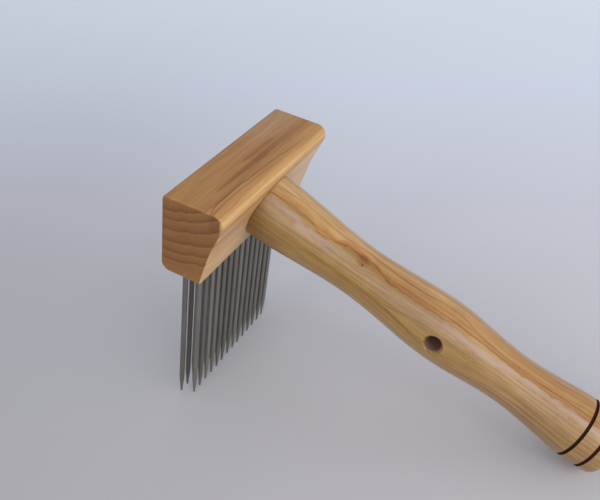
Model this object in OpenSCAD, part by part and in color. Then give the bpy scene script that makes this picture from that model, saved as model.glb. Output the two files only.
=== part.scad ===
// Hand comb for combing wool
// A wooden head carries staggered rows of pointed steel tines.
// A turned wooden handle is let into the slanted face of the head.
// The comb is drawn as it is set down on a table: it stands on the tips
// of the handle-side row and on the round edge of the handle's butt.

/* [Head] */
// Wood beyond the last tine of the back row, at each end of the head
end_margin = 11.7; // [8:0.05:20]
// Height of the head, from the face that the tines leave to the top face
head_height = 45.95; // [43:0.05:52]
// Width at the top, from the back to the handle side, before its edge is rounded
head_top_width = 37.6; // [35:0.1:40]
// Width of the face that the tines leave
head_base_width = 23.5; // [20:0.1:25]
// The handle side leans out more above a bend: width and height of the head there
bend_width = 28.6; // [27:0.1:30]
bend_height = 21.8; // [15:0.1:28]
// Radius of the bend
bend_round = 60; // [20:5:80]
// Radius on the upper back edge
back_top_round = 3; // [1.5:0.5:5]
// Radius on the lower back edge
back_base_round = 5; // [3:0.5:5.5]
// Radius on the upper edge of the handle side
side_top_round = 6; // [3:0.5:7]
// Radius on the lower edge of the handle side
side_base_round = 0.8; // [0.4:0.1:1.2]
// Easing of the edges around both ends
end_ease = 1.2; // [0.6:0.1:2]

/* [Tines] */
// Number of tines in the back row; the handle-side row has one fewer
back_count = 15; // [10:1:20]
// Spacing of the tines along a row
pitch = 6.35; // [5.5:0.05:8]
// Distance between the two rows
row_gap = 6.85; // [5:0.05:8]
// How far both rows sit from the middle of that face, towards the back
row_shift = 0.5; // [0:0.1:1.5]
// Diameter of a tine
tine_d = 3; // [2.4:0.1:3.4]
// Length of a tine outside the head
tine_length = 101.3; // [88:0.1:115]
// Length of a tine inside the head
tine_seat = 12; // [9:0.5:12.5]
// Length of the ground taper
tine_taper = 13; // [9:0.5:18]
// Radius of the blunt point
tip_r = 0.5; // [0.3:0.05:0.7]
// Space around a tine in its hole
tine_fit = 0.03; // [0.01:0.01:0.06]

/* [Handle] */
// Length of the handle outside the head, along its axis
handle_length = 219.3; // [205:0.1:240]
// Height of the handle's axis on the slanted face, above the tine face
seat_height = 21; // [19.5:0.1:23]
// Angle of the handle below the head's level
handle_drop = 17.1; // [12:0.1:20]
// Diameter at the head
root_d = 37; // [33:0.2:37]
// Diameter of the waist next to the head
neck_d = 29; // [25:0.2:31]
// Diameter of the swell at the cross hole
swell_d = 35; // [31:0.2:37]
// Diameter of the second waist
waist_d = 28.5; // [25:0.1:31]
// Diameter of the flare
flare_d = 34.8; // [32:0.2:37]
// Diameter where the butt starts to round over
butt_d = 33.8; // [31:0.2:34.8]
// From the head to the first waist
root_length = 64.3; // [55:0.1:75]
// From the first waist to the swell
neck_length = 50; // [42:1:58]
// From the swell to the second waist
swell_length = 45; // [38:1:52]
// From the flare to where the butt starts to round over
flare_length = 9; // [7:0.5:12]
// Radius of the butt's round edge
butt_round = 5; // [3:0.5:7]
// Height of the shallow dome on the butt
butt_dome = 1; // [0.4:0.1:2]

/* [Handle joint] */
// Diameter of the tenon
tenon_d = 19; // [16:0.5:20]
// Length of the tenon
tenon_length = 18; // [14:0.5:20]
// Space around the tenon and at its end
tenon_fit = 0.1; // [0.05:0.05:0.2]

/* [Cross hole] */
// Diameter of the hole through the swell
hole_d = 8.5; // [6:0.5:10]
// Diameter of the countersink at its mouths
sink_d = 11.6; // [11:0.1:13]
// Turn of the hole around the handle, up on the near side
hole_turn = 9; // [0:1:15]

/* [Burnt rings] */
// From the last ring to the butt's round edge
ring_inset = 4.5; // [3:0.5:6]
// Distance between the two rings
ring_spacing = 9.8; // [7:0.1:13]
// Width of a ring
ring_width = 1.8; // [1.2:0.1:2.4]
// Depth of a ring
ring_depth = 0.8; // [0.4:0.1:1.2]

/* [Hidden] */
$fn = 96;
arc_steps = 10;
curve_steps = 12;
past = 2;

side_count = back_count - 1;
head_length = (back_count - 1) * pitch + 2 * end_margin;
back_row_y = (head_base_width - row_gap) / 2 - row_shift;
side_row_y = (head_base_width + row_gap) / 2 - row_shift;
bend = [bend_width, bend_height];
face_slope = atan((bend_width - head_base_width) / bend_height);
upper_slope = atan((head_top_width - bend_width) / (head_height - bend_height));

// The handle's axis: where it meets the slanted face, which way it runs
// and which way is up across it, as [y, z] in the head's own frame
seat = [head_base_width + seat_height * tan(face_slope), seat_height];
along = [cos(handle_drop), -sin(handle_drop)];
across = [sin(handle_drop), cos(handle_drop)];

// Places along the handle's axis, from the slanted face
neck_at = root_length;
swell_at = neck_at + neck_length;
waist_at = swell_at + swell_length;
butt_at = handle_length - butt_round - butt_dome;
flare_at = butt_at - flare_length;
rings_at = [butt_at - ring_inset - ring_spacing, butt_at - ring_inset];
shoulder_trim = root_d / 2 * abs(tan(handle_drop - face_slope)) + past;

// The comb stands on two round edges: a tine's blunt point and the butt.
// The tilt makes the line under both of them level.
tip_centre = [side_row_y, tip_r - tine_length];
butt_centre = seat + butt_at * along - (butt_d / 2 - butt_round) * across;
reach = butt_centre - tip_centre;
tilt = atan2(reach[1], reach[0]) - asin((butt_round - tip_r) / norm(reach));

// A [y, z] place in the head's frame, turned to stand on the table
function set_down(p) = [
    p[0] * cos(tilt) + p[1] * sin(tilt),
    p[1] * cos(tilt) - p[0] * sin(tilt)
];
back_end = set_down([back_row_y, tip_r - tine_length])[0] - tip_r;
butt_top = seat + butt_at * along + (butt_d / 2 - butt_round) * across;
front_end = set_down(butt_top)[0] + butt_round;
lift = tip_r - set_down(tip_centre)[1];

function two_digits(n) = n < 10 ? str("0", n) : str(n);
function back_tine_name(n) = str("back_tine_", two_digits(n));
function side_tine_name(n) = str("side_tine_", two_digits(n));

// Places of tine n in each row, counted from the near end of the head
function back_tine_x(n) = ((back_count + 1) / 2 - n) * pitch;
function side_tine_x(n) = ((side_count + 1) / 2 - n) * pitch;

// Points of an arc of radius r in the corner p between a and b
function round_corner(a, p, b, r) =
    let (
        u = (a - p) / norm(a - p),
        w = (b - p) / norm(b - p),
        half = acos(u * w) / 2,
        centre = p + (u + w) / norm(u + w) * r / sin(half),
        from = p + u * r / tan(half) - centre,
        to = p + w * r / tan(half) - centre,
        sweep = 180 - 2 * half
    )
    [for (i = [0:arc_steps])
        let (k = i / arc_steps)
        centre + (from * sin((1 - k) * sweep) + to * sin(k * sweep)) / sin(sweep)];

// Outline with each corner rounded by its own radius
function rounded(corners, radii) =
    let (n = len(corners))
    [for (i = [0:n - 1])
        each round_corner(corners[(i + n - 1) % n], corners[i], corners[(i + 1) % n], radii[i])];

// Rectangle around the middle of x, from low to high, with eased corners
function eased_end(low, high) = rounded(
    [[-head_length / 2, low], [head_length / 2, low],
     [head_length / 2, high], [-head_length / 2, high]],
    [end_ease, end_ease, end_ease, end_ease]
);

// Smooth run of radii between two stations of the turned profile
function sweep_between(s0, r0, s1, r1) = [
    for (i = [1:curve_steps])
        let (k = i / curve_steps)
        [r0 + (r1 - r0) * (1 - cos(180 * k)) / 2, s0 + (s1 - s0) * k]
];

module stand() {
    translate([0, -(back_end + front_end) / 2, lift])
        rotate([-tilt, 0, 0])
            children();
}

// Draws its children along the handle's axis, with z away from the head
module on_handle_axis() {
    translate([0, seat[0], seat[1]])
        rotate([-90 - handle_drop, 0, 0])
            children();
}

module head_block() {
    section = rounded(
        [[0, 0], [head_base_width, 0], bend, [head_top_width, head_height], [0, head_height]],
        [back_base_round, side_base_round, bend_round, side_top_round, back_top_round]
    );
    intersection() {
        rotate([90, 0, 90])
            linear_extrude(head_length, center = true)
                polygon(section);
        rotate([90, 0, 0])
            translate([0, 0, -head_top_width - past])
                linear_extrude(head_top_width + 2 * past)
                    polygon(eased_end(0, head_height));
        translate([0, 0, -past])
            linear_extrude(head_height + 2 * past)
                polygon(eased_end(0, head_top_width));
    }
}

module tine_hole(x, y) {
    translate([x, y, -past])
        cylinder(h = tine_seat + tine_fit + past, d = tine_d + 2 * tine_fit);
}

module mortise() {
    on_handle_axis()
        translate([0, 0, -tenon_length - tenon_fit])
            cylinder(h = tenon_length + tenon_fit + shoulder_trim, d = tenon_d + 2 * tenon_fit);
}

module head() {
    color([0.74, 0.58, 0.39])
        stand()
            difference() {
                head_block();
                mortise();
                for (n = [1:back_count])
                    tine_hole(back_tine_x(n), back_row_y);
                for (n = [1:side_count])
                    tine_hole(side_tine_x(n), side_row_y);
            }
}

// The turned body, from behind the slanted face to the domed butt
module turned_body() {
    flat_r = butt_d / 2 - butt_round;
    profile = concat(
        [[0, -shoulder_trim], [root_d / 2, -shoulder_trim], [root_d / 2, 0]],
        sweep_between(0, root_d / 2, neck_at, neck_d / 2),
        sweep_between(neck_at, neck_d / 2, swell_at, swell_d / 2),
        sweep_between(swell_at, swell_d / 2, waist_at, waist_d / 2),
        sweep_between(waist_at, waist_d / 2, flare_at, flare_d / 2),
        [[butt_d / 2, butt_at]],
        [for (i = [1:arc_steps])
            let (a = 90 * i / arc_steps)
            [flat_r + butt_round * cos(a), butt_at + butt_round * sin(a)]],
        [for (i = [1:4])
            let (r = flat_r * (1 - i / 4))
            [r, butt_at + butt_round + butt_dome * (1 - pow(r / flat_r, 2))]]
    );
    rotate_extrude()
        polygon(profile);
}

// A burnt ring's cut: narrow at its floor and wide at the surface
module ring_cut(at) {
    rotate_extrude()
        polygon([
            [flare_d / 2 - ring_depth, at - ring_width / 4],
            [flare_d / 2 + past, at - ring_width / 2 - past / 2],
            [flare_d / 2 + past, at + ring_width / 2 + past / 2],
            [flare_d / 2 - ring_depth, at + ring_width / 4]
        ]);
}

// The cross hole with a countersink at both mouths
module cross_hole() {
    sink_depth = (sink_d - hole_d) / 2;
    translate([0, 0, swell_at])
        rotate([0, 0, -hole_turn])
            rotate([0, 90, 0]) {
                cylinder(h = swell_d + 2 * past, d = hole_d, center = true);
                for (side = [0, 180])
                    rotate([0, side, 0])
                        translate([0, 0, swell_d / 2 - sink_depth])
                            cylinder(
                                h = sink_depth + past,
                                d1 = hole_d,
                                d2 = sink_d + 2 * past
                            );
            }
}

// All that lies on the head's side of the slanted face
module behind_face() {
    size = 3 * head_height;
    low = [head_base_width - size * tan(face_slope), -size];
    high = [head_top_width + size * tan(upper_slope), head_height + size];
    rotate([90, 0, 90])
        linear_extrude(size, center = true)
            polygon(concat(
                [[-2 * size, -size], low],
                round_corner(low, bend, high, bend_round),
                [high, [-2 * size, head_height + size]]
            ));
}

module handle() {
    color([0.78, 0.6, 0.36])
        stand()
            union() {
                difference() {
                    on_handle_axis()
                        difference() {
                            turned_body();
                            for (at = rings_at)
                                ring_cut(at);
                            cross_hole();
                        }
                    behind_face();
                }
                on_handle_axis()
                    translate([0, 0, -tenon_length])
                        cylinder(h = tenon_length + shoulder_trim + past, d = tenon_d);
            }
}

// One tine, ground to a blunt point, at its place in the head
module tine(x, y) {
    shank = tine_seat + tine_length - tine_taper;
    tip_z = tine_seat + tine_length - tip_r;
    color([0.47, 0.47, 0.46])
        stand()
            translate([x, y, tine_seat])
                rotate([180, 0, 0])
                    rotate_extrude($fn = 32)
                        polygon(concat(
                            [[0, 0], [tine_d / 2, 0], [tine_d / 2, shank]],
                            [for (i = [0:4])
                                let (a = 90 * i / 4)
                                [tip_r * cos(a), tip_z + tip_r * sin(a)]]
                        ));
}

head();
handle();
for (n = [1:back_count])
    tine(back_tine_x(n), back_row_y);
for (n = [1:side_count])
    tine(side_tine_x(n), side_row_y);
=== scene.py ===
import math
from math import radians
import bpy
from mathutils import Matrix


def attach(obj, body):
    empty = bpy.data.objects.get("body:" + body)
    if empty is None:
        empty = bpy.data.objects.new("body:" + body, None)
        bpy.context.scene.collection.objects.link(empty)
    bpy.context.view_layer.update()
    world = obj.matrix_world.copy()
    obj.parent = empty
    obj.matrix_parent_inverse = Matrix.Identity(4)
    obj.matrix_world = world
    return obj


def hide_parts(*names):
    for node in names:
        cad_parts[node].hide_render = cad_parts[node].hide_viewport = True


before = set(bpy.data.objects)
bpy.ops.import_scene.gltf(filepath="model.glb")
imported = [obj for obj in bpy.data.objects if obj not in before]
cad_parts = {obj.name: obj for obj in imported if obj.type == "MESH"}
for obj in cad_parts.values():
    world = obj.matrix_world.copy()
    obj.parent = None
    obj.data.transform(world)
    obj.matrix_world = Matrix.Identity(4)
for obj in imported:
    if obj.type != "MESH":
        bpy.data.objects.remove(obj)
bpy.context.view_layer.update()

from types import SimpleNamespace

import bmesh
import bpy
from mathutils import Matrix, Vector

# Sizes in millimetres, as in the part's source
MM = 0.001
END_MARGIN = 11.7
HEAD_HEIGHT = 45.95
HEAD_TOP_WIDTH = 37.6
HEAD_BASE_WIDTH = 23.5
BEND = (28.6, 21.8)
BEND_ROUND = 60.0
BACK_TOP_ROUND = 3.0
BACK_BASE_ROUND = 5.0
SIDE_TOP_ROUND = 6.0
SIDE_BASE_ROUND = 0.8
END_EASE = 1.2

BACK_COUNT = 15
SIDE_COUNT = BACK_COUNT - 1
PITCH = 6.35
ROW_GAP = 6.85
ROW_SHIFT = 0.5
TINE_R = 1.5
TINE_LENGTH = 101.3
TINE_SEAT = 12.0
TINE_TAPER = 13.0
TIP_R = 0.5
TINE_FIT = 0.03

HANDLE_LENGTH = 219.3
SEAT_HEIGHT = 21.0
HANDLE_DROP = radians(17.1)
SWELL_AT = 114.3
BUTT_ROUND = 5.0
BUTT_DOME = 1.0
BUTT_R = 16.9
FLARE_R = 17.4
BUTT_AT = HANDLE_LENGTH - BUTT_ROUND - BUTT_DOME
FLARE_AT = BUTT_AT - 9.0
# Place along the handle and radius, at the root, the neck, the swell, the waist and the flare
TURNED = ((0.0, 18.5), (64.3, 14.5), (SWELL_AT, 17.5), (159.3, 14.25), (FLARE_AT, FLARE_R))
LAST_RING_AT = BUTT_AT - 4.5
RINGS_AT = (LAST_RING_AT - 9.8, LAST_RING_AT)
RING_HALF = 0.9
RING_DEPTH = 0.8
TENON_R = 9.5
TENON_LENGTH = 18.0
TENON_FIT = 0.1
HOLE_R = 4.25
SINK_R = 5.8
HOLE_TURN = radians(9)

# Surface detail that the part's source leaves out
HOLE_MOUTH = 0.22
TENON_CHAMFER = 0.6
SHOULDER_EASE = 0.35
SHOULDER_BLEND = 14.0
PIT_R = 0.6
PIT_DEPTH = 1.3 * PIT_R
PIT_AT = 62.0
PIT_TURN = radians(53)
TINE_LEAN = 0.0012
BACK_SEED = 3
SIDE_SEED = 8

# How finely the shapes are cut, and the sharpest edges that are shaded as smooth, in degrees
ARC_STEPS = 12
EASE_STEPS = 8
HANDLE_SIDES = 144
HANDLE_STEP = 1.25
RING_SHARES = (0.0, 0.2, 0.45, 0.7, 0.88, 0.97, 1.0, 1.12)
DOME_STEPS = 7
POLE_R = 0.02
MORTISE_SIDES = 96
HOLE_SIDES = 72
TINE_HOLE_SIDES = 28
PIT_SIDES = 20
PIT_STEPS = 8
HEAD_CREASE = 25.0
HANDLE_CREASE = 30.0
TINE_CREASE = 40.0
PIN_SIDES = 24
PIN_STATIONS = 30
PIN_CROWDING = 2.2
PIN_POLE_R = 0.03

# Where the head stands: on the handle-side tips and on the butt's round edge
HEAD_LENGTH = (BACK_COUNT - 1) * PITCH + 2 * END_MARGIN
FACE_SLOPE = math.atan((BEND[0] - HEAD_BASE_WIDTH) / BEND[1])
UPPER_SLOPE = math.atan((HEAD_TOP_WIDTH - BEND[0]) / (HEAD_HEIGHT - BEND[1]))
BACK_ROW = (HEAD_BASE_WIDTH - ROW_GAP) / 2 - ROW_SHIFT
SIDE_ROW = (HEAD_BASE_WIDTH + ROW_GAP) / 2 - ROW_SHIFT
SEAT = Vector((HEAD_BASE_WIDTH + SEAT_HEIGHT * math.tan(FACE_SLOPE), SEAT_HEIGHT))
ALONG = Vector((math.cos(HANDLE_DROP), -math.sin(HANDLE_DROP)))
ACROSS = Vector((math.sin(HANDLE_DROP), math.cos(HANDLE_DROP)))


def standing():
    """The head frame's tilt, its shift towards the back and its lift, so that the comb stands level."""
    tip = Vector((SIDE_ROW, TIP_R - TINE_LENGTH))
    butt = SEAT + BUTT_AT * ALONG - (BUTT_R - BUTT_ROUND) * ACROSS
    reach = butt - tip
    tilt = math.atan2(reach.y, reach.x) - math.asin((BUTT_ROUND - TIP_R) / reach.length)
    down = Matrix.Rotation(-tilt, 2)
    back_end = (down @ Vector((BACK_ROW, TIP_R - TINE_LENGTH))).x - TIP_R
    butt_top = SEAT + BUTT_AT * ALONG + (BUTT_R - BUTT_ROUND) * ACROSS
    front_end = (down @ butt_top).x + BUTT_ROUND
    return tilt, (back_end + front_end) / 2, TIP_R - (down @ tip).y


TILT, MID, LIFT = standing()
HEAD_FRAME = Matrix.Translation((0, -MID, LIFT)) @ Matrix.Rotation(-TILT, 4, "X")
HANDLE_FRAME = (
    HEAD_FRAME
    @ Matrix.Translation((0, SEAT.x, SEAT.y))
    @ Matrix.Rotation(-radians(90) - HANDLE_DROP, 4, "X")
)

# Tones of the wood, each from a dark growth line to the palest wood
LONG_GRAIN = (
    (0.0, (0.135, 0.052, 0.012)),
    (0.3, (0.250, 0.110, 0.030)),
    (0.5, (0.350, 0.172, 0.052)),
    (0.7, (0.455, 0.247, 0.086)),
    (1.0, (0.640, 0.425, 0.190)),
)
ROSY_GRAIN = (
    (0.0, (0.165, 0.078, 0.034)),
    (0.5, (0.385, 0.222, 0.112)),
    (1.0, (0.650, 0.450, 0.280)),
)
END_GRAIN = (
    (0.0, (0.105, 0.038, 0.009)),
    (0.35, (0.180, 0.073, 0.021)),
    (0.65, (0.258, 0.118, 0.037)),
    (1.0, (0.395, 0.205, 0.070)),
)
GOLDEN = (
    (0.0, (0.165, 0.065, 0.013)),
    (0.35, (0.270, 0.124, 0.034)),
    (0.6, (0.365, 0.190, 0.062)),
    (0.8, (0.450, 0.258, 0.094)),
    (1.0, (0.540, 0.362, 0.185)),
)
OLIVE = (
    (0.0, (0.120, 0.053, 0.013)),
    (0.35, (0.215, 0.110, 0.029)),
    (0.6, (0.300, 0.169, 0.047)),
    (0.8, (0.375, 0.230, 0.076)),
    (1.0, (0.490, 0.340, 0.170)),
)
# painted sheen: colour of the pale band on the handle that stands in for a highlight
PAINTED_SHEEN_COLOUR = (0.430, 0.315, 0.275)
HOLE_BROWN = (0.210, 0.120, 0.082)
BURNT_BROWN = (0.026, 0.009, 0.003)
WARM_FIGURE = (1.04, 0.86, 0.72)
WARM_LINE = (1.06, 0.80, 0.55)
STEEL = (
    (0.0, (0.120, 0.112, 0.100)),
    (0.45, (0.250, 0.238, 0.215)),
    (1.0, (0.460, 0.440, 0.405)),
)
# painted light: the paper's tones run from its dim near side to its brightly lit, bluer far side
PAPER_AND_PAINTED_LIGHT = (
    (0.0, (0.52, 0.505, 0.53)),
    (0.25, (0.61, 0.61, 0.655)),
    (0.6, (0.745, 0.79, 0.895)),
    (1.0, (0.87, 0.94, 1.0)),
)

# Growth lines of the head, as distances from the heart above it, and how wide the dark wood before each is
HEART = (-1.7, 85.6)
HEAD_LINES = ((40.8, 1.8), (48.0, 3.0), (53.0, 2.0), (59.3, 3.0), (66.5, 3.4), (72.5, 2.6), (77.5, 2.2))
GROWTH_FROM = 36.0
GROWTH_TO = 92.0

# Two dark tongues in the top face, each between two edges: [place along the head, distance from the back]
UPPER_TONGUE = (
    ((-57, 19.2), (-20, 18.6), (0, 18.8), (15, 19.0), (30, 18.8), (41, 19.7), (57, 20)),
    ((-57, 21), (-40, 22), (-10, 22.4), (20, 21.9), (34, 20.8), (41, 19.9), (57, 19.6)),
)
LOWER_TONGUE = (
    ((-57, 16.8), (-30, 16.2), (-20, 14.9), (-5, 14.4), (9, 15.8), (57, 17)),
    ((-57, 18.2), (-20, 18.2), (-5, 18.0), (4, 17.2), (9, 16.0), (57, 15)),
)
# A dark line in the top face, and how far past it a second one runs
TOP_LINE = ((-57, 31.5), (-33, 30.4), (-5, 27.7), (20, 26.3), (40, 25.4), (49, 26), (57, 29.5))
SECOND_LINE_GAP = ((-57, 0.6), (0, 1.6), (25, 2.4), (45, 2.2), (57, 0.4))
# How pale the slanted face is: [height, tone], at the near end of the head and further along it
NEAR_BANDS = (
    (0, 0.26), (10, 0.28), (20, 0.24), (26, 0.13), (29, 0.10), (32, 0.26), (34.5, 0.22), (37.5, 0.06),
    (40, 0.26), (43, 0.42), (46, 0.42),
)
FAR_BANDS = ((0, 0.36), (20, 0.36), (30, 0.40), (34, 0.36), (37.5, 0.16), (41, 0.34), (46, 0.42))

# Spots on the handle: [place along it, angle round it, weight along, weight round]
KNOT = (61, 63, 1.0, 0.25)
SMUDGE = (41, 40, 0.45, 0.28)
SPECKS = ((133, 29, 0.8, 0.26), (187, 40, 0.8, 0.26))
# How far the grain is pushed aside beside the cross hole: [angle, degrees]
PARTED = ((-180, 0), (-60, -5), (-20, -9), (0, -8), (12, -2), (25, 5), (42, 5), (60, 0), (180, 0))
# The growth line between the golden and the olive wood: [place, angle], and how dark it is
LINE_AT = (
    (0, 57), (18, 65), (30, 60), (36, 56), (45, 60), (58, 69), (66, 68), (76, 57), (88, 55), (115, 60),
    (126, 62), (150, 60), (180, 60), (220, 62),
)
LINE_DARK = (
    (0, 0.4), (25, 0.45), (36, 0.9), (60, 1.1), (76, 0.9), (92, 0.5), (125, 0.4), (160, 0.5), (220, 0.4),
)
# A painted sheen below that line, a pale band that stands in for a window's highlight: [place, angle], and
# how strong it is
PAINTED_SHEEN_AT = (
    (0, 51), (20, 50), (40, 44), (60, 48), (80, 45), (108, 46), (122, 46), (135, 47), (150, 50), (162, 53),
    (200, 51), (220, 50),
)
PAINTED_SHEEN_STRENGTH = (
    (0, 0.15), (8, 0.42), (25, 0.50), (60, 0.42), (75, 0.24), (108, 0.28), (122, 0.45), (165, 0.45),
    (180, 0.34), (204, 0.34), (220, 0.3),
)
# How pale the wood is along the handle: above the line, on the crown and below the line
UPPER_TONE = ((0, 0.72), (30, 0.76), (58, 0.72), (76, 0.56), (110, 0.60), (135, 0.62), (220, 0.60))
CROWN_TONE = ((0, 0.06), (60, 0.10), (95, 0.18), (125, 0.04), (220, 0.0))
LOWER_TONE = ((0, 0.58), (60, 0.59), (100, 0.60), (130, 0.64), (160, 0.62), (185, 0.57), (220, 0.57))
# Dark streaks of the handle: [place along it, angle round it], half width in degrees, strength
HANDLE_STREAKS = (
    (
        ((0, 75), (15, 82), (25, 84), (40, 82), (60, 86), (80, 80), (95, 79), (110, 83), (125, 77), (140, 71),
         (220, 66)),
        3.15,
        0.17,
    ),
    (((0, 112), (30, 104), (60, 102), (90, 98), (110, 101), (150, 99), (220, 96)), 3.75, 0.13),
    (((0, 62), (140, 64), (160, 65), (175, 68), (190, 74), (220, 84)), 2.7, 0.12),
    (((0, 20), (20, 19), (40, 15), (60, 12), (75, 13), (90, 18), (110, 30), (220, 30)), 1.8, 0.15),
    (((0, 7), (20, 6), (40, 9), (60, 6), (80, 8), (100, 0), (112, -6), (125, -10), (220, -12)), 2.1, 0.20),
    (((0, -9), (30, -10), (60, -12), (100, -17), (140, -14), (220, -20)), 2.55, 0.16),
    (((0, 28), (30, 28), (50, 28), (70, 31), (95, 41), (110, 44), (220, 46)), 1.95, 0.11),
    (((0, 4), (112, 2), (125, 4), (135, 10), (150, 13), (175, 11), (220, 16)), 2.1, 0.13),
    (((0, -3), (140, -4), (160, -1), (178, 1), (192, -2), (220, -6)), 2.25, 0.15),
)
GRAIN_R = 16
NOISE_SPREAD = 3.2

# The stage, in metres: the paper, with the directions of its far side and of its right side, and the lamps
FLOOR_HALF = 4.0
PAPER_FAR = (-0.8795, -0.476)
PAPER_RIGHT = (-0.449, 0.892)
LAMP_AIM = (0, 0, 0.07)
LAMP_DISTANCE = 1.75
# Name, direction from the comb, size of the panel, watts, colour
LAMPS = (
    ("low side", (0.10, 0.96, 0.27), (3.2, 0.95), 28.0, (1.0, 0.975, 0.94)),
    ("near end", (0.90, 0.10, 0.45), (1.4, 1.2), 10.5, (1.0, 0.965, 0.91)),
    ("back", (-0.65, 0.10, 0.75), (1.6, 1.6), 2.0, (0.95, 0.97, 1.0)),
    ("window", (0.41, 0.61, 0.67), (0.5, 0.5), 2.2, (0.86, 0.93, 1.0)),
)
ROOM_GLOW = (0.95, 0.98, 1.05)
ROOM_SEEN = (0.80, 0.86, 1.0)
ROOM_STRENGTH = 0.53
CAMERA_AT = (0.30153, 0.11003, 0.31665)
CAMERA_TURN = (radians(56.842), radians(3.113), radians(117.021))
SENSOR_WIDTH = 36.0
FOCAL_LENGTH = 44.995


class Signal:
    """A socket of a node tree. Arithmetic on it adds Math nodes."""

    def __init__(self, graph, socket):
        self.graph = graph
        self.socket = socket

    def __add__(self, other):
        return self.graph.math("ADD", self, other)

    def __radd__(self, other):
        return self.graph.math("ADD", other, self)

    def __sub__(self, other):
        return self.graph.math("SUBTRACT", self, other)

    def __rsub__(self, other):
        return self.graph.math("SUBTRACT", other, self)

    def __mul__(self, other):
        return self.graph.math("MULTIPLY", self, other)

    def __rmul__(self, other):
        return self.graph.math("MULTIPLY", other, self)

    def __truediv__(self, other):
        return self.graph.math("DIVIDE", self, other)

    def __rtruediv__(self, other):
        return self.graph.math("DIVIDE", other, self)

    def __pow__(self, other):
        return self.graph.math("POWER", self, other)

    def __abs__(self):
        return self.graph.math("ABSOLUTE", self)


class Graph:
    """Adds nodes to one tree, for a material, the world or Geometry Nodes."""

    def __init__(self, tree):
        self.tree = tree

    def add(self, kind, settings=None, inputs=None, output=0):
        """A node of a kind, with its settings first and then the values or links of its sockets."""
        node = self.tree.nodes.new(kind)
        for name, value in (settings or {}).items():
            if name == "stops":
                fill_ramp(node.color_ramp, value)
            elif name == "points":
                fill_curve(node.mapping, value)
            else:
                setattr(node, name, value)
        for name, value in (inputs or {}).items():
            if isinstance(value, Signal):
                self.tree.links.new(value.socket, node.inputs[name])
            else:
                node.inputs[name].default_value = value
        return Signal(self, node.outputs[output])

    def math(self, operation, *values, clamp=False):
        settings = {"operation": operation, "use_clamp": clamp}
        return self.add("ShaderNodeMath", settings, dict(enumerate(values)))

    def least(self, a, b):
        return self.math("MINIMUM", a, b)

    def most(self, a, b):
        return self.math("MAXIMUM", a, b)

    def split(self, vector):
        node = self.add("ShaderNodeSeparateXYZ", {}, {"Vector": vector}).socket.node
        return [Signal(self, node.outputs[i]) for i in range(3)]

    def join(self, x, y, z):
        return self.add("ShaderNodeCombineXYZ", {}, {"X": x, "Y": y, "Z": z})

    def angle(self, y, x):
        """The angle of a direction, in degrees."""
        return self.math("ARCTAN2", y, x) * (180 / math.pi)

    def frame_place(self, matrix):
        """Object coordinates in a frame of the comb, in millimetres."""
        place = self.add("ShaderNodeTexCoord", output="Object")
        return self.add(
            "ShaderNodeMapping",
            {"vector_type": "TEXTURE"},
            {
                "Vector": place,
                "Location": MM * matrix.translation,
                "Rotation": matrix.to_euler(),
                "Scale": (MM, MM, MM),
            },
        )

    def noise(self, vector, scale, shift=(0, 0, 0), detail=2.0):
        """Noise around zero, about -1 to 1, with its grain size given by the scale per millimetre."""
        place = self.add("ShaderNodeMapping", {}, {"Vector": vector, "Scale": scale, "Location": shift})
        made = self.add("ShaderNodeTexNoise", {}, {"Vector": place, "Scale": 1.0, "Detail": detail})
        return (made - 0.5) * NOISE_SPREAD

    def rise(self, value, low, high):
        """0 below low, 1 above high and a smooth step between; low may be the larger one."""
        return self.add(
            "ShaderNodeMapRange",
            {"interpolation_type": "SMOOTHSTEP"},
            {"Value": value, "From Min": low, "From Max": high},
        )

    def hump(self, value, middle, half):
        """1 at the middle, falling smoothly to 0 at half away from it."""
        return self.rise(abs(value - middle), half, 0.0)

    def curve(self, value, points):
        """A smooth curve through points, for a value between the first and the last of them."""
        low, high = points[0][0], points[-1][0]
        spots = [((x - low) / (high - low), y) for x, y in points]
        return self.add("ShaderNodeFloatCurve", {"points": spots}, {"Value": (value - low) / (high - low)})

    def ramp(self, value, stops):
        return self.add("ShaderNodeValToRGB", {"stops": stops}, {"Fac": value})

    def mix(self, share, a, b, blend="MIX"):
        """Colour a blended towards colour b by a share."""
        settings = {"data_type": "RGBA", "blend_type": blend}
        colours = {6: a, 7: b}
        for name, colour in colours.items():
            if not isinstance(colour, Signal):
                colours[name] = (*colour, 1.0)
        return self.add("ShaderNodeMix", settings, {0: share, **colours}, output=2)


def fill_ramp(ramp, stops):
    ramp.interpolation = "LINEAR"
    while len(ramp.elements) > 1:
        ramp.elements.remove(ramp.elements[-1])
    for i, (at, colour) in enumerate(stops):
        element = ramp.elements[0] if i == 0 else ramp.elements.new(at)
        element.position = at
        if isinstance(colour, (int, float)):
            colour = (colour, colour, colour)
        element.color = (*colour, 1.0)


def fill_curve(mapping, points):
    curve = mapping.curves[0]
    mapping.use_clip = False
    curve.points[0].location = points[0]
    curve.points[1].location = points[-1]
    for point in points[1:-1]:
        curve.points.new(*point)
    mapping.clip_min_y = min(y for _, y in points)
    mapping.clip_max_y = max(y for _, y in points)
    mapping.update()


def new_material(name):
    """A material with a bare Principled shader, and the graph that fills it."""
    material = bpy.data.materials.new(name)
    material.use_nodes = True
    return material, Graph(material.node_tree)


def shade(graph, height=None, bump=1.0, **sockets):
    """Fills the material's own shader: what varies over the surface is linked, and the rest is set."""
    shader = graph.tree.nodes["Principled BSDF"]
    if height is not None:
        inputs = {"Height": height, "Strength": bump, "Distance": MM}
        sockets["Normal"] = graph.add("ShaderNodeBump", {}, inputs)
    for name, value in sockets.items():
        socket = shader.inputs[name.replace("_", " ")]
        if isinstance(value, Signal):
            graph.tree.links.new(value.socket, socket)
        else:
            socket.default_value = value


def pores(graph, place, scale):
    """Short dark dashes along the grain, as open pores cut lengthwise."""
    return graph.rise(graph.noise(place, scale, detail=1.0), 0.62, 0.95)


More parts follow.
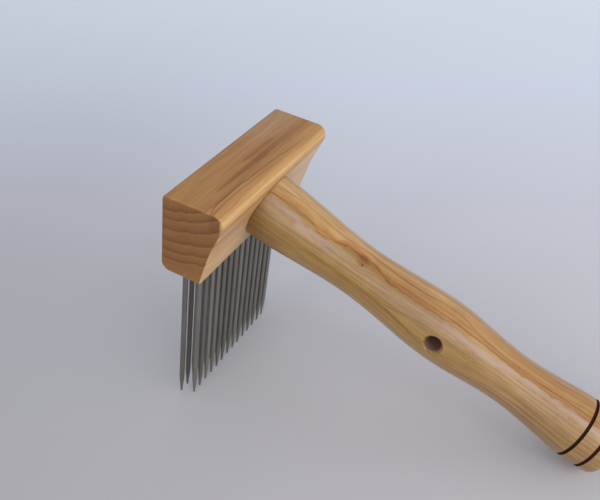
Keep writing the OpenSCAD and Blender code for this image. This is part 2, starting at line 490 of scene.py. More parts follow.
def growth(g, distance):
    """Tone of the growth rings: it darkens before each line and is palest just past it."""
    span = GROWTH_TO - GROWTH_FROM
    stops = [(0.0, 0.55)]
    for at, wide in HEAD_LINES:
        for place, tone in ((at - wide, 0.54), (at - 0.5, 0.27), (at + 0.35, 0.74), (at + 1.4, 0.60)):
            stops.append(((place - GROWTH_FROM) / span, tone))
    stops.append((1.0, 0.66))
    return g.ramp((distance - GROWTH_FROM) / span, stops)


def head_grain(g):
    """Places and noises in the head, whose grain runs along it, and the tone of its growth rings."""
    place = g.frame_place(HEAD_FRAME)
    x, y, z = g.split(place)
    inside = g.rise(x, HEAD_LENGTH / 2, HEAD_LENGTH / 2 - 16)
    out = y - HEART[0]
    down = HEART[1] - z
    angle = g.angle(out, down)
    crest = g.rise(angle, 11.5, 16.8) * g.rise(angle, 18.6, 17.0) + g.rise(angle, 16.8, 18.4) * 0.25
    wander = g.noise(place, (0.016, 0.05, 0.05), (3.1, 0, 0)) * (0.35 + inside * 2.2)
    ripple = g.noise(place, (0.05, 0.28, 0.28), (7.7, 2, 0)) * (0.16 + inside * 0.45)
    distance = (out * out + down * down) ** 0.5 + crest * 0.9 + wander + ripple
    return SimpleNamespace(
        place=place,
        x=x,
        y=y,
        z=z,
        rings=growth(g, distance),
        broad=g.noise(place, (0.012, 0.11, 0.11), (1.3, 5, 2)),
        streak=g.noise(place, (0.018, 0.55, 0.55), (4.1, 1, 8), detail=3),
        fine=g.noise(place, (0.05, 1.9, 1.9), (9.2, 4, 3)),
        pore=pores(g, place, (0.16, 2.6, 2.6)),
    )


def tongue(g, across, x, edges):
    """1 between two edges that bend along the head, with soft borders."""
    low, high = [g.curve(x, edge) for edge in edges]
    return g.rise(across - low, -0.5, 0.8) * g.rise(high - across, -0.4, 1.0)


def head_figure(g, h):
    """How dark the tongues and lines make the top face."""
    shaken = h.y + h.streak * 0.35 + g.noise(h.place, (0.06, 0.2, 0.2), (2.2, 6, 1)) * 0.5
    upper = tongue(g, shaken, h.x, UPPER_TONGUE) * g.rise(h.x, -66, 0)
    lower = tongue(g, shaken, h.x, LOWER_TONGUE) * g.rise(h.x, -44, -16)
    line_at = g.curve(h.x, TOP_LINE)
    wavy = h.y + g.noise(h.place, (0.12, 0.3, 0.3), (5, 5, 5)) * 0.3
    line = g.hump(wavy, line_at, 0.85) * g.rise(h.x, -50, -12)
    second_at = line_at + g.curve(h.x, SECOND_LINE_GAP)
    second = g.hump(h.y + h.streak * 0.2, second_at, 0.8) * g.rise(h.x, -12, 12)
    return upper * 0.17 + lower * 0.16 + line * 0.25 + second * 0.18


def head_long_colour(g, h):
    """Colour of the faces cut along the grain. Each was cut through it in its own way; a painted sheen tints
    the far back of the top and the far slanted face rosy, and a painted highlight makes the rounded top edge
    on the handle side paler.
    """
    top = g.rise(h.z, HEAD_HEIGHT - 7, HEAD_HEIGHT - 2)
    slant = g.rise(h.y - h.z * math.tan(FACE_SLOPE), HEAD_BASE_WIDTH - 3, HEAD_BASE_WIDTH - 1)
    slant = slant * (1 - top)
    far = g.rise(h.x, 5, -40)
    bands = g.curve(h.z, NEAR_BANDS) * (1 - far) + g.curve(h.z, FAR_BANDS) * far
    figure = top * head_figure(g, h)
    # paler towards the handle side; the large step on the rounded top edge is partly the wood's own pale zone
    # and partly a painted highlight
    paler_top_and_edge_highlight = g.rise(h.y, 24, 31) * 0.07 + g.rise(h.y, 31.5, 36.5) * 0.34 + g.rise(h.y, 14, 4) * 0.03

    tone = 0.50 + (h.rings - 0.55) * 0.26 + h.broad * 0.06 + h.streak * 0.11 + h.fine * 0.09 - h.pore * 0.16
    tone = tone + top * paler_top_and_edge_highlight - figure + slant * bands
    # partly painted sheen: the rosy tint on the far back of the top and on the far part of the slanted face
    # stands in for a grazing sheen, while the slanted face's rosy tone near the end is the wood's own
    rosy = top * g.rise(h.y, 22, 8) * far * 0.75 + slant * (0.42 + far * 0.50) * g.rise(h.z, 42, 36)
    colour = g.mix(g.least(rosy, 1.0), g.ramp(tone, LONG_GRAIN), g.ramp(tone, ROSY_GRAIN))
    return g.mix(g.least(figure * 3.5, 1.0), colour, WARM_FIGURE, "MULTIPLY")


def head_end_colour(g, h):
    """Colour of the two ends, cut across the grain."""
    corner = g.rise(h.y, 25.5, 28.5) * g.rise(h.z, 34.5, 38.5)
    rays = g.noise(h.place, (0.5, 1.5, 0.22), (3, 3, 3))
    tone = h.rings * 0.85 + 0.05 + h.broad * 0.05 + rays * 0.07 + h.fine * 0.05 - corner * 0.16
    return g.ramp(tone + g.rise(h.z, 9, 2) * 0.08, END_GRAIN)


def head_wood():
    """Oiled wood with growth rings on its ends and dark tongues in its top."""
    material, g = new_material("head wood")
    h = head_grain(g)
    end = g.rise(abs(h.x), HEAD_LENGTH / 2 - 0.32, HEAD_LENGTH / 2 - 0.04)
    # the end face's edge beside the upper slanted face takes the paler long-grain colour: partly the eased
    # edge's own wood, partly a painted highlight
    end = end * (1 - g.rise(h.y, 32.2, 33.6) * g.rise(h.z, 34, 38))
    colour = g.mix(end, head_long_colour(g, h), head_end_colour(g, h))
    rough = 0.46 + h.streak * 0.03 + end * 0.14 + h.pore * 0.12
    height = h.fine * 0.012 + h.streak * 0.010 - h.pore * 0.04 + h.rings * end * 0.02
    shade(g, height, bump=0.5, Base_Color=colour, Roughness=rough, Specular_IOR_Level=0.42)
    return material


def gap_to(spot, s, turn):
    """Distance from a spot on the handle."""
    at, angle, along, around = spot
    return (((s - at) * along) ** 2 + ((turn - angle) * around) ** 2) ** 0.5


def handle_grain(g):
    """Places and noises on the handle, whose grain parts round the cross hole and the knot."""
    place = g.frame_place(HANDLE_FRAME)
    x, y, s = g.split(place)
    turn = g.angle(0 - y, x)
    jag = g.noise(place, (0.3, 0.3, 0.16), (2, 8, 1), detail=3)
    knot_gap = gap_to(KNOT, s, turn)

    # The noise is read along bent lines
    parted = g.curve(turn, PARTED) * g.hump(s, 113, 46)
    bent = (turn - parted - (turn - KNOT[1]) * 0.5 * g.rise(knot_gap, 9, 2)) * radians(1)
    grain = g.join(g.math("COSINE", bent) * GRAIN_R, g.math("SINE", bent) * GRAIN_R, s)
    return SimpleNamespace(
        place=place,
        x=x,
        y=y,
        s=s,
        turn=turn,
        jag=jag,
        knot=g.rise(knot_gap + jag * 0.8, 5.0, 1.0),
        broad=g.noise(grain, (0.09, 0.09, 0.010), (1.3, 5, 2)),
        streak=g.noise(grain, (0.55, 0.55, 0.014), (4.1, 1, 8), detail=3),
        mottle=g.noise(grain, (0.35, 0.35, 0.12), (7, 3, 5), detail=3),
        fine=g.noise(grain, (1.5, 1.5, 0.035), (9.2, 4, 3)),
        pore=pores(g, grain, (2.6, 2.6, 0.16)),
    )


def handle_line(g, h):
    """The flame-edged growth line, the dark feather above it, and where the wood above it shows."""
    over = h.turn - g.curve(h.s, LINE_AT) + h.jag * 4
    dark = g.curve(h.s, LINE_DARK)
    line = g.hump(over, 0.6, 3.0) * (0.8 + h.jag * 0.5) * dark
    feather = g.hump(over + h.mottle * 3, 4.5, 6.0) * dark
    golden = g.rise(over, -2.0, 3.0) * g.rise(h.turn, 168, 130)
    return line, feather, golden


def handle_dark(g, h, line, feather):
    """How dark the growth line, the streaks, the knot, the smaller marks and the root's near side make the
    wood.
    """
    dark = line * 0.40 + feather * (0.15 + h.mottle * 0.12) + h.knot * 0.18
    for points, half, strength in HANDLE_STREAKS:
        streak = g.hump(h.turn + h.jag * 1.2, g.curve(h.s, points), half)
        dark = dark + streak * (strength * (1.35 + h.streak * 0.6))
    smudge = g.rise(gap_to(SMUDGE, h.s, h.turn) + h.jag * 0.8, 2.8, 0.4)
    # darker towards the root on its near side, where the handle meets the head
    root = g.rise(h.s, 14, 0) * g.rise(h.turn, -50, -10) * g.rise(h.turn, 50, 15)
    speck_gap = g.least(*[gap_to(speck, h.s, h.turn) for speck in SPECKS])
    dots = g.rise(g.noise(h.place, (0.9, 0.9, 0.6), (6, 1, 4)), 0.05, 0.6)
    return dark + smudge * 0.17 + root * 0.20 + g.rise(speck_gap, 6.0, 2.5) * dots * 0.14


def handle_long_colour(g, h, golden, dark):
    """Golden wood above the growth line, and olive wood below it that turns rosy towards the butt; painted
    bounce light makes its lower side paler.
    """
    grain = h.broad * 0.08 + h.streak * 0.19 + h.fine * 0.15 + h.mottle * 0.10 - h.pore * 0.20
    # painted light: the handle's lower side is paler, standing in for light bounced up from the paper
    painted_bounce_side = g.rise(h.turn, 12, -4) * g.rise(h.s, 12, 30) * g.rise(h.s, 135, 100)
    common = grain - dark + painted_bounce_side * 0.15
    upper = g.curve(h.s, UPPER_TONE) + g.rise(h.turn, 78, 92) * g.curve(h.s, CROWN_TONE) + common
    lower = g.curve(h.s, LOWER_TONE) + common
    below = g.mix(g.rise(h.s, 105, 165) * 0.35, g.ramp(lower, OLIVE), g.ramp(lower, ROSY_GRAIN))
    return g.mix(golden, below, g.ramp(upper, GOLDEN))


def handle_painted_sheen(g, h):
    """How far the painted sheen shows: a pale band below the growth line that stands in for a highlight."""
    strength = g.curve(h.s, PAINTED_SHEEN_STRENGTH) * (1 - g.hump(h.s, 62, 40) * 0.5)
    band = g.hump(h.turn + h.jag * 5.0 + h.streak * 3.0, g.curve(h.s, PAINTED_SHEEN_AT), 11.0)
    return strength * band * g.rise(h.knot, 0.6, 0.2)


def butt_colour(g, h):
    """End grain of the butt, with arcs of growth round a heart beside it."""
    heart = ((h.x + 30) ** 2 + (h.y - 14) ** 2) ** 0.5
    arcs = g.math("FRACT", (heart + h.jag * 0.8) / 5.2)
    return g.ramp(arcs * 0.75 + h.fine * 0.04 + 0.1, END_GRAIN)


def handle_wood():
    """Thinly varnished wood, with burnt rings, bare wood in its cross hole and a painted sheen band."""
    material, g = new_material("handle wood")
    h = handle_grain(g)
    line, feather, golden = handle_line(g, h)
    colour = handle_long_colour(g, h, golden, handle_dark(g, h, line, feather))
    warm = g.least(line + feather * 0.6 + h.knot * 0.6, 1.0)
    colour = g.mix(warm, colour, WARM_LINE, "MULTIPLY")
    # painted sheen: a pale band laid into the colour where a highlight falls
    colour = g.mix(handle_painted_sheen(g, h), colour, PAINTED_SHEEN_COLOUR)

    ring_gap = g.least(abs(h.s - RINGS_AT[0]), abs(h.s - RINGS_AT[1]))
    burnt = g.rise(ring_gap, RING_HALF + 0.12, RING_HALF - 0.08)
    colour = g.mix(burnt, colour, BURNT_BROWN)
    hole_side = h.x * math.sin(HOLE_TURN) + h.y * math.cos(HOLE_TURN)
    hole = g.rise(((h.s - SWELL_AT) ** 2 + hole_side * hole_side) ** 0.5, HOLE_R + 0.5, HOLE_R + 0.1)
    colour = g.mix(hole, colour, HOLE_BROWN)
    butt = g.rise(h.s, BUTT_AT + 2, BUTT_AT + 5)
    colour = g.mix(butt, colour, butt_colour(g, h))

    rough = 0.40 + h.streak * 0.03 + h.pore * 0.12 + burnt * 0.40 + butt * 0.12
    varnish = (1 - burnt) * (0.85 - hole * 0.5)
    height = h.fine * 0.010 + h.streak * 0.008 - h.pore * 0.04
    shade(g, height, bump=0.5, Base_Color=colour, Roughness=rough, Coat_Weight=varnish,
          Coat_Roughness=0.3, Specular_IOR_Level=0.12)
    return material


def tine_steel():
    """Drawn wire in a slightly different tone for each tine, with grinding rings on its taper, and painted
    shade that darkens the back row.
    """
    material, g = new_material("tine steel")
    place = g.frame_place(HEAD_FRAME)
    _, y, z = g.split(place)
    tone = g.add("ShaderNodeAttribute", {"attribute_name": "tine_tone"}, output="Fac")
    drawn = g.noise(place, (3.5, 3.5, 0.06), (1, 2, 3), detail=3)
    cloud = g.noise(place, (0.25, 0.25, 0.05), (6, 2, 9))
    rings = g.noise(place, (0.4, 0.4, 5.0), (6, 6, 1))
    taper_at = TINE_TAPER - TINE_LENGTH
    ground = g.rise(z, taper_at + 1.5, taper_at - 1.5)
    # painted shade: the back row is made darker, standing in for the shadow of the front row
    back_row = g.rise(y, 10.5, 8.5)
    level = 0.58 + (tone - 0.5) * 0.25 + drawn * 0.10 + cloud * 0.08 + ground * rings * 0.10
    colour = g.ramp(level - back_row * 0.22, STEEL)
    rough = 0.46 + drawn * 0.05 + ground * 0.06
    height = drawn * 0.006 * (1 - ground) + rings * 0.006 * ground
    shade(g, height, bump=0.6, Base_Color=colour, Roughness=rough, Metallic=1.0)
    return material


def floor_paper():
    """Pale paper with painted light: a painted falloff makes it brighter and bluer towards its far side, and
    a painted shade makes it a little duller on its near left.
    """
    material, g = new_material("floor paper")
    x, y, _ = g.split(g.add("ShaderNodeTexCoord", output="Object"))
    far = x * PAPER_FAR[0] + y * PAPER_FAR[1]
    right = x * PAPER_RIGHT[0] + y * PAPER_RIGHT[1]
    # painted light falloff, paler and bluer towards the far side
    lit = g.ramp((far + right * 0.15 + 0.15) / 1.1, PAPER_AND_PAINTED_LIGHT)
    # painted shade on the near left of the paper
    painted_shade = g.ramp(g.rise(right, -0.32, 0.06), ((0.0, 0.84), (1.0, 1.0)))
    colour = g.mix(g.rise(far, 0.9, 0.1), lit, painted_shade, "MULTIPLY")
    shade(g, Base_Color=colour, Roughness=0.9, Specular_IOR_Level=0.1)
    return material


def link_object(name, data):
    """A new object in the scene."""
    made = bpy.data.objects.new(name, data)
    bpy.context.scene.collection.objects.link(made)
    return made


def finish_mesh(mesh, crease):
    """Welds a mesh, turns its faces outwards, and smooths it except across edges sharper than the crease."""
    work = bmesh.new()
    work.from_mesh(mesh)
    bmesh.ops.remove_doubles(work, verts=work.verts, dist=1e-7)
    bmesh.ops.recalc_face_normals(work, faces=work.faces)
    for face in work.faces:
        face.smooth = True
    for edge in work.edges:
        edge.smooth = edge.is_manifold and edge.calc_face_angle(0.0) < radians(crease)
    work.to_mesh(mesh)
    work.free()


def new_piece(name, points, faces, matrix, crease=HANDLE_CREASE):
    """A piece from points in millimetres in one of the comb's frames."""
    mesh = bpy.data.meshes.new(name)
    mesh.from_pydata([MM * (matrix @ Vector(p)) for p in points], [], faces)
    finish_mesh(mesh, crease)
    return link_object(name, mesh)


def applied(piece):
    """Turns a piece with modifiers into a plain mesh."""
    bpy.context.view_layer.update()
    ready = piece.evaluated_get(bpy.context.evaluated_depsgraph_get())
    mesh = bpy.data.meshes.new_from_object(ready)
    piece.modifiers.clear()
    old = piece.data
    piece.data = mesh
    bpy.data.meshes.remove(old)


def cut(piece, cutter, crease=HANDLE_CREASE):
    """Cuts the cutter's shape out of a piece."""
    knife = piece.modifiers.new("cut", "BOOLEAN")
    knife.operation = "DIFFERENCE"
    knife.solver = "EXACT"
    knife.object = cutter
    applied(piece)
    bpy.data.objects.remove(cutter)
    finish_mesh(piece.data, crease)


def skin(rings):
    """Faces over rings that all have the same number of points, and over both ends."""
    count = len(rings[0])
    points = [p for ring in rings for p in ring]
    faces = []
    for i in range(len(rings) - 1):
        for j in range(count):
            k = (j + 1) % count
            faces.append((i * count + j, i * count + k, (i + 1) * count + k, (i + 1) * count + j))
    faces.append(tuple(reversed(range(count))))
    faces.append(tuple((len(rings) - 1) * count + j for j in range(count)))
    return points, faces


def round_corner(before, corner, after, radius):
    """Points of an arc in a corner of an outline."""
    u = (before - corner).normalized()
    w = (after - corner).normalized()
    half = math.acos(u.dot(w)) / 2
    centre = corner + (u + w).normalized() * radius / math.sin(half)
    start = corner + u * radius / math.tan(half) - centre
    stop = corner + w * radius / math.tan(half) - centre
    sweep = math.pi - 2 * half
    arc = []
    for i in range(ARC_STEPS + 1):
        k = i / ARC_STEPS
        spoke = (start * math.sin((1 - k) * sweep) + stop * math.sin(k * sweep)) / math.sin(sweep)
        arc.append(centre + spoke)
    return arc


def head_section(inset):
    """The head's outline in [y, z], moved inwards by inset."""
    lean, upper_lean = math.tan(FACE_SLOPE), math.tan(UPPER_SLOPE)
    slant, upper_slant = inset / math.cos(FACE_SLOPE), inset / math.cos(UPPER_SLOPE)
    low, high = inset, HEAD_HEIGHT - inset
    drop = (upper_slant - slant) / (upper_lean - lean)
    corners = [
        Vector((inset, low)),
        Vector((HEAD_BASE_WIDTH + low * lean - slant, low)),
        Vector((BEND[0] + drop * lean - slant, BEND[1] + drop)),
        Vector((HEAD_TOP_WIDTH - inset * upper_lean - upper_slant, high)),
        Vector((inset, high)),
    ]
    radii = [BACK_BASE_ROUND, SIDE_BASE_ROUND, BEND_ROUND, SIDE_TOP_ROUND, BACK_TOP_ROUND]
    outline = []
    for i, corner in enumerate(corners):
        radius = max(radii[i] - inset, 0.05)
        outline += round_corner(corners[i - 1], corner, corners[(i + 1) % len(corners)], radius)
    return outline


def head_block():
    """The head before it is drilled, with eased ends."""
    rings = []
    for i in range(EASE_STEPS + 1):
        a = radians(90) * i / EASE_STEPS
        x = HEAD_LENGTH / 2 - END_EASE + END_EASE * math.cos(a)
        inset = END_EASE * (1 - math.sin(a))
        rings.append([(x, p.x, p.y) for p in head_section(inset)])
    rings += [[(-x, y, z) for x, y, z in ring] for ring in reversed(rings)]
    points, faces = skin(rings)
    return new_piece("head_block", points, faces, HEAD_FRAME, HEAD_CREASE)


def lathe(profile, sides, shift=None):
    """Points and faces of a shape turned round z from [radius, z] stations; shift bends each ring along z."""
    rings = []
    for radius, at in profile:
        ring = []
        for j in range(sides):
            a = 2 * math.pi * j / sides
            bend = shift(radius, at, a) if shift else 0.0
            ring.append((radius * math.cos(a), radius * math.sin(a), at + bend))
        rings.append(ring)
    return skin(rings)


def drill_cutters():
    """The tine holes with their eased mouths, and the mortise for the handle's tenon."""
    hole_r = TINE_R + TINE_FIT
    clear = 1.0
    profile = (
        (hole_r + HOLE_MOUTH + clear, -clear),
        (hole_r + HOLE_MOUTH, 0.0),
        (hole_r, HOLE_MOUTH),
        (hole_r, TINE_SEAT + TINE_FIT),
    )
    one_points, one_faces = lathe(profile, TINE_HOLE_SIDES)
    points, faces = [], []
    for count, row in ((BACK_COUNT, BACK_ROW), (SIDE_COUNT, SIDE_ROW)):
        for n in range(1, count + 1):
            at = Vector((((count + 1) / 2 - n) * PITCH, row, 0.0))
            start = len(points)
            points += [at + Vector(p) for p in one_points]
            faces += [tuple(start + i for i in face) for face in one_faces]
    mortise_r = TENON_R + TENON_FIT
    mortise_clear = 4.0
    profile = ((mortise_r, -TENON_LENGTH - TENON_FIT), (mortise_r, mortise_clear))
    mortise, mortise_faces = lathe(profile, MORTISE_SIDES)
    to_head = HEAD_FRAME.inverted() @ HANDLE_FRAME
    start = len(points)
    points += [to_head @ Vector(p) for p in mortise]
    faces += [tuple(start + i for i in face) for face in mortise_faces]
    return new_piece("drills", points, faces, HEAD_FRAME)


def make_head(material):
    head = head_block()
    cut(head, drill_cutters(), HEAD_CREASE)
    head.data.materials.append(material)
    return head


def turned_radius(at):
    """Radius of the turned handle at a place along its axis."""
    if at <= 0:
        return TURNED[0][1]
    if at >= FLARE_AT:
        share = (at - FLARE_AT) / (BUTT_AT - FLARE_AT)
        return FLARE_R + (BUTT_R - FLARE_R) * share
    for (s0, r0), (s1, r1) in zip(TURNED, TURNED[1:]):
        if at <= s1:
            k = (at - s0) / (s1 - s0)
            return r0 + (r1 - r0) * (1 - math.cos(math.pi * k)) / 2


def ring_floor(at, middle):
    """Radius inside a burnt ring, whose floor is round."""
    share = min(abs(at - middle) / RING_HALF, 1.0)
    surface = turned_radius(at)
    return surface - (surface - FLARE_R + RING_DEPTH) * math.sqrt(1 - share * share)


def tenon_profile():
    """Stations of the tenon and of the eased shoulder beside it."""
    root_r = TURNED[0][1]
    return [
        (POLE_R, -TENON_LENGTH),
        (TENON_R - TENON_CHAMFER, -TENON_LENGTH),
        (TENON_R, -TENON_LENGTH + TENON_CHAMFER),
        (TENON_R, 0.0),
        (root_r - SHOULDER_EASE, 0.0),
        (root_r - 0.08, SHOULDER_EASE * 0.35),
    ]


def body_profile():
    """Stations of the turned body, closer together in the burnt rings."""
    places = [SHOULDER_EASE] + [HANDLE_STEP * i for i in range(1, int(BUTT_AT / HANDLE_STEP) + 1)]
    places = [s for s in places if min(abs(s - m) for m in RINGS_AT) > RING_HALF + 0.25]
    body = [(turned_radius(s), s) for s in places]
    for middle in RINGS_AT:
        for share in [-k for k in reversed(RING_SHARES[1:])] + list(RING_SHARES):
            place = middle + share * RING_HALF
            body.append((ring_floor(place, middle), place))
    return sorted(body, key=lambda station: station[1])


def butt_profile():
    """Stations of the butt, round at its edge and slightly domed, out to its pole."""
    flat_r = BUTT_R - BUTT_ROUND
    profile = []
    for i in range(ARC_STEPS + 1):
        a = radians(90) * i / ARC_STEPS
        profile.append((flat_r + BUTT_ROUND * math.cos(a), BUTT_AT + BUTT_ROUND * math.sin(a)))
    for i in range(1, DOME_STEPS + 1):
        r = max(flat_r * (1 - i / DOME_STEPS), POLE_R)
        profile.append((r, BUTT_AT + BUTT_ROUND + BUTT_DOME * (1 - (r / flat_r) ** 2)))
    return profile


def follow_face(radius, at, angle):
    """Shifts the stations near the root so that the shoulder lies on the head's slanted face."""
    if at < -0.01:
        return 0.0
    across = SEAT - radius * math.sin(angle) * ACROSS
    reach = []
    for slope in (FACE_SLOPE, UPPER_SLOPE):
        gap = BEND[0] + (across.y - BEND[1]) * math.tan(slope) - across.x
        reach.append(gap / (ALONG.x - ALONG.y * math.tan(slope)))
    return max(reach) * max(0.0, 1 - at / SHOULDER_BLEND)


def hole_cutter():
    """The cross hole, with a countersink at both mouths."""
    depth = SINK_R - HOLE_R
    clear = 3.0
    swell = turned_radius(SWELL_AT)
    half = [
        (HOLE_R, 0.0),
        (HOLE_R, swell - depth - 0.5),
        (HOLE_R + 0.12, swell - depth),
        (SINK_R, swell),
        (SINK_R + clear, swell + clear),
    ]
    profile = [(r, -z) for r, z in reversed(half)] + half[1:]
    points, faces = lathe(profile, HOLE_SIDES)
    turn = Matrix.Rotation(-HOLE_TURN, 4, "Z") @ Matrix.Rotation(radians(90), 4, "Y")
    return new_piece("hole_drill", points, faces, HANDLE_FRAME @ Matrix.Translation((0, 0, SWELL_AT)) @ turn)


def pit_cutter():
    """A small open pit beside the knot."""
    profile = []
    for i in range(PIT_STEPS + 1):
        a = radians(180) * i / PIT_STEPS
        profile.append((max(PIT_R * math.sin(a), 0.01), -PIT_DEPTH * math.cos(a)))
    points, faces = lathe(profile, PIT_SIDES)
    out = Matrix.Rotation(-PIT_TURN, 4, "Z") @ Matrix.Rotation(radians(90), 4, "Y")
    place = HANDLE_FRAME @ Matrix.Translation((0, 0, PIT_AT)) @ out
    return new_piece("pit_drill", points, faces, place @ Matrix.Translation((0, 0, turned_radius(PIT_AT))))


def make_handle(material):
    profile = tenon_profile() + body_profile() + butt_profile()
    points, faces = lathe(profile, HANDLE_SIDES, follow_face)
    handle = new_piece("handle_turned", points, faces, HANDLE_FRAME)
    cut(handle, hole_cutter())
    cut(handle, pit_cutter())
    handle.data.materials.append(material)
    return handle


def ground_pin(g, given):
    """One pin on z: its stations close up towards its tip, and its taper ends in a small round."""
    whole = given["Seat"] + given["Length"]
    spine = g.add("GeometryNodeMeshLine", {}, {"Count": PIN_STATIONS, "Offset": (0, 0, 0.001)})
    index = g.add("GeometryNodeInputIndex")
    height = whole * ((1 - index / (PIN_STATIONS - 1)) ** PIN_CROWDING) - given["Length"]
    spine = g.add("GeometryNodeSetPosition", {}, {"Geometry": spine, "Position": g.join(0.0, 0.0, height)})
    spine = g.add("GeometryNodeMeshToCurve", {}, {"Mesh": spine})
    _, _, place = g.split(g.add("GeometryNodeInputPosition"))
    from_tip = place + given["Length"]
    tip = given["Tip radius"]
    share = g.math("DIVIDE", from_tip, tip, clamp=True)
    cone = (given["Radius"] - tip) * (from_tip - tip) / (given["Taper"] - tip)
    radius = tip * (share * (2 - share)) ** 0.5 + g.most(cone, 0.0)
    radius = g.most(g.least(radius, given["Radius"]), PIN_POLE_R)
    circle = g.add("GeometryNodeCurvePrimitiveCircle", {}, {"Resolution": PIN_SIDES, "Radius": 1.0})
    inputs = {"Curve": spine, "Profile Curve": circle, "Scale": radius, "Fill Caps": True}
    return g.add("GeometryNodeCurveToMesh", {}, inputs)


def pins_in_row(g, given, pin):
    """Copies of the pin along x, each a hair out of true and with a tone of its own."""
    start = (given["Count"] - 1) * given["Pitch"] * 0.5
    row = g.add(
        "GeometryNodeMeshLine",
        {},
        {
            "Count": given["Count"],
            "Start Location": g.join(start, given["Row"], 0.0),
            "Offset": g.join(0 - given["Pitch"], 0.0, 0.0),
        },
    )
    lean = g.add(
        "FunctionNodeRandomValue",
        {"data_type": "FLOAT_VECTOR"},
        {0: (-0.2, -1.0, -180.0), 1: (0.2, 1.0, 180.0), "Seed": given["Seed"]},
    )
    lean = g.add("ShaderNodeVectorMath", {"operation": "SCALE"}, {0: lean, "Scale": given["Lean"]})
    pins = g.add("GeometryNodeInstanceOnPoints", {}, {"Points": row, "Instance": pin, "Rotation": lean})
    tone = g.add("FunctionNodeRandomValue", {"data_type": "FLOAT"}, {"Seed": given["Seed"] + 1}, output=1)
    return g.add(
        "GeometryNodeStoreNamedAttribute",
        {"data_type": "FLOAT", "domain": "INSTANCE"},
        {"Geometry": pins, "Name": "tine_tone", "Value": tone},
    )


def tine_row_tree():
    """Geometry Nodes for one row of tines."""
    tree = bpy.data.node_groups.new("row of tines", "GeometryNodeTree")
    tree.interface.new_socket("Geometry", in_out="OUTPUT", socket_type="NodeSocketGeometry")
    named = (
        ("Count", "NodeSocketInt"), ("Pitch", "NodeSocketFloat"), ("Row", "NodeSocketFloat"),
        ("Seat", "NodeSocketFloat"), ("Length", "NodeSocketFloat"), ("Radius", "NodeSocketFloat"),
        ("Taper", "NodeSocketFloat"), ("Tip radius", "NodeSocketFloat"), ("Lean", "NodeSocketFloat"),
        ("Seed", "NodeSocketInt"), ("Location", "NodeSocketVector"), ("Rotation", "NodeSocketVector"),
        ("Scale", "NodeSocketFloat"), ("Material", "NodeSocketMaterial"),
    )
    for name, kind in named:
        tree.interface.new_socket(name, in_out="INPUT", socket_type=kind)
    g = Graph(tree)
    outputs = tree.nodes.new("NodeGroupInput").outputs
    given = {name: Signal(g, outputs[name]) for name, _ in named}

    pins = pins_in_row(g, given, ground_pin(g, given))
    pins = g.add("GeometryNodeRealizeInstances", {}, {"Geometry": pins})
    pins = g.add(
        "GeometryNodeTransform",
        {},
        {
            "Geometry": pins,
            "Translation": given["Location"],
            "Rotation": given["Rotation"],
            "Scale": g.join(given["Scale"], given["Scale"], given["Scale"]),
        },
    )
    pins = g.add("GeometryNodeSetShadeSmooth", {}, {"Geometry": pins})
    pins = g.add("GeometryNodeSetMaterial", {}, {"Geometry": pins, "Material": given["Material"]})
    tree.links.new(pins.socket, tree.nodes.new("NodeGroupOutput").inputs["Geometry"])
    return tree


def make_tine_row(name, count, row, seed, tree, material):
    piece = link_object(name, bpy.data.meshes.new(name))
    maker = piece.modifiers.new("row", "NODES")
    maker.node_group = tree
    values = {
        "Count": count, "Pitch": PITCH, "Row": row, "Seat": TINE_SEAT, "Length": TINE_LENGTH,
        "Radius": TINE_R, "Taper": TINE_TAPER, "Tip radius": TIP_R, "Lean": TINE_LEAN, "Seed": seed,
        "Location": MM * HEAD_FRAME.translation, "Rotation": HEAD_FRAME.to_euler()[:], "Scale": MM,
        "Material": material,
    }
    for item in tree.interface.items_tree:
        if item.in_out == "INPUT":
            maker[item.identifier] = values[item.name]
    applied(piece)
    finish_mesh(piece.data, TINE_CREASE)
    return piece


def make_floor():
    mesh = bpy.data.meshes.new("floor")
    corners = [(x * FLOOR_HALF, y * FLOOR_HALF, 0) for x, y in ((-1, -1), (1, -1), (1, 1), (-1, 1))]
    mesh.from_pydata(corners, [], [(0, 1, 2, 3)])
    floor = link_object("floor", mesh)
    floor.data.materials.append(floor_paper())


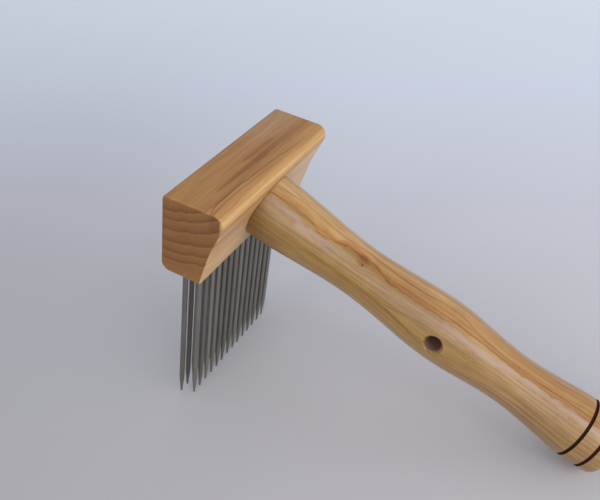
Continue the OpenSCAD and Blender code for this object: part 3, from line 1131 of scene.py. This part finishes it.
def soft_light(name, towards, size, power, colour):
    """A lamp panel that faces the comb from a direction."""
    lamp = bpy.data.lights.new(name, "AREA")
    lamp.shape = "RECTANGLE"
    lamp.size, lamp.size_y = size
    lamp.energy = power
    lamp.color = colour
    light = link_object(name, lamp)
    way = Vector(towards).normalized()
    light.location = Vector(LAMP_AIM) + way * LAMP_DISTANCE
    light.rotation_euler = way.to_track_quat("Z", "Y").to_euler()
    light.visible_camera = False


def light_room():
    """A dim even glow, which is bluer where it is seen itself, in gloss or through glass."""
    world = bpy.data.worlds.new("room")
    bpy.context.scene.world = world
    world.use_nodes = True
    g = Graph(world.node_tree)
    outputs = g.add("ShaderNodeLightPath").socket.node.outputs
    seen = Signal(g, outputs["Is Camera Ray"]) + Signal(g, outputs["Is Glossy Ray"])
    seen = g.least(seen + Signal(g, outputs["Is Transmission Ray"]), 1.0)
    colour = g.mix(seen, ROOM_GLOW, ROOM_SEEN)
    background = world.node_tree.nodes["Background"]
    world.node_tree.links.new(colour.socket, background.inputs["Color"])
    background.inputs["Strength"].default_value = ROOM_STRENGTH


def make_camera():
    lens = bpy.data.cameras.new("camera")
    lens.sensor_width = SENSOR_WIDTH
    lens.lens = FOCAL_LENGTH
    lens.clip_start = 0.01
    camera = link_object("camera", lens)
    camera.location = CAMERA_AT
    camera.rotation_euler = CAMERA_TURN
    bpy.context.scene.camera = camera


def dress(piece, slot, *nodes):
    """Puts a piece in the place of its solids."""
    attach(piece, "root")
    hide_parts(*nodes)


def build():
    make_camera()
    make_floor()
    light_room()
    for lamp in LAMPS:
        soft_light(*lamp)
    dress(make_head(head_wood()), "head_wood", "head")
    dress(make_handle(handle_wood()), "handle_wood", "handle")
    steel = tine_steel()
    tree = tine_row_tree()
    back = make_tine_row("back_row_tines", BACK_COUNT, BACK_ROW, BACK_SEED, tree, steel)
    side = make_tine_row("side_row_tines", SIDE_COUNT, SIDE_ROW, SIDE_SEED, tree, steel)
    dress(back, "tine_steel", *[f"back_tine_{n:02d}" for n in range(1, BACK_COUNT + 1)])
    dress(side, "tine_steel", *[f"side_tine_{n:02d}" for n in range(1, SIDE_COUNT + 1)])
    bpy.context.scene.view_settings.view_transform = "Standard"


build()
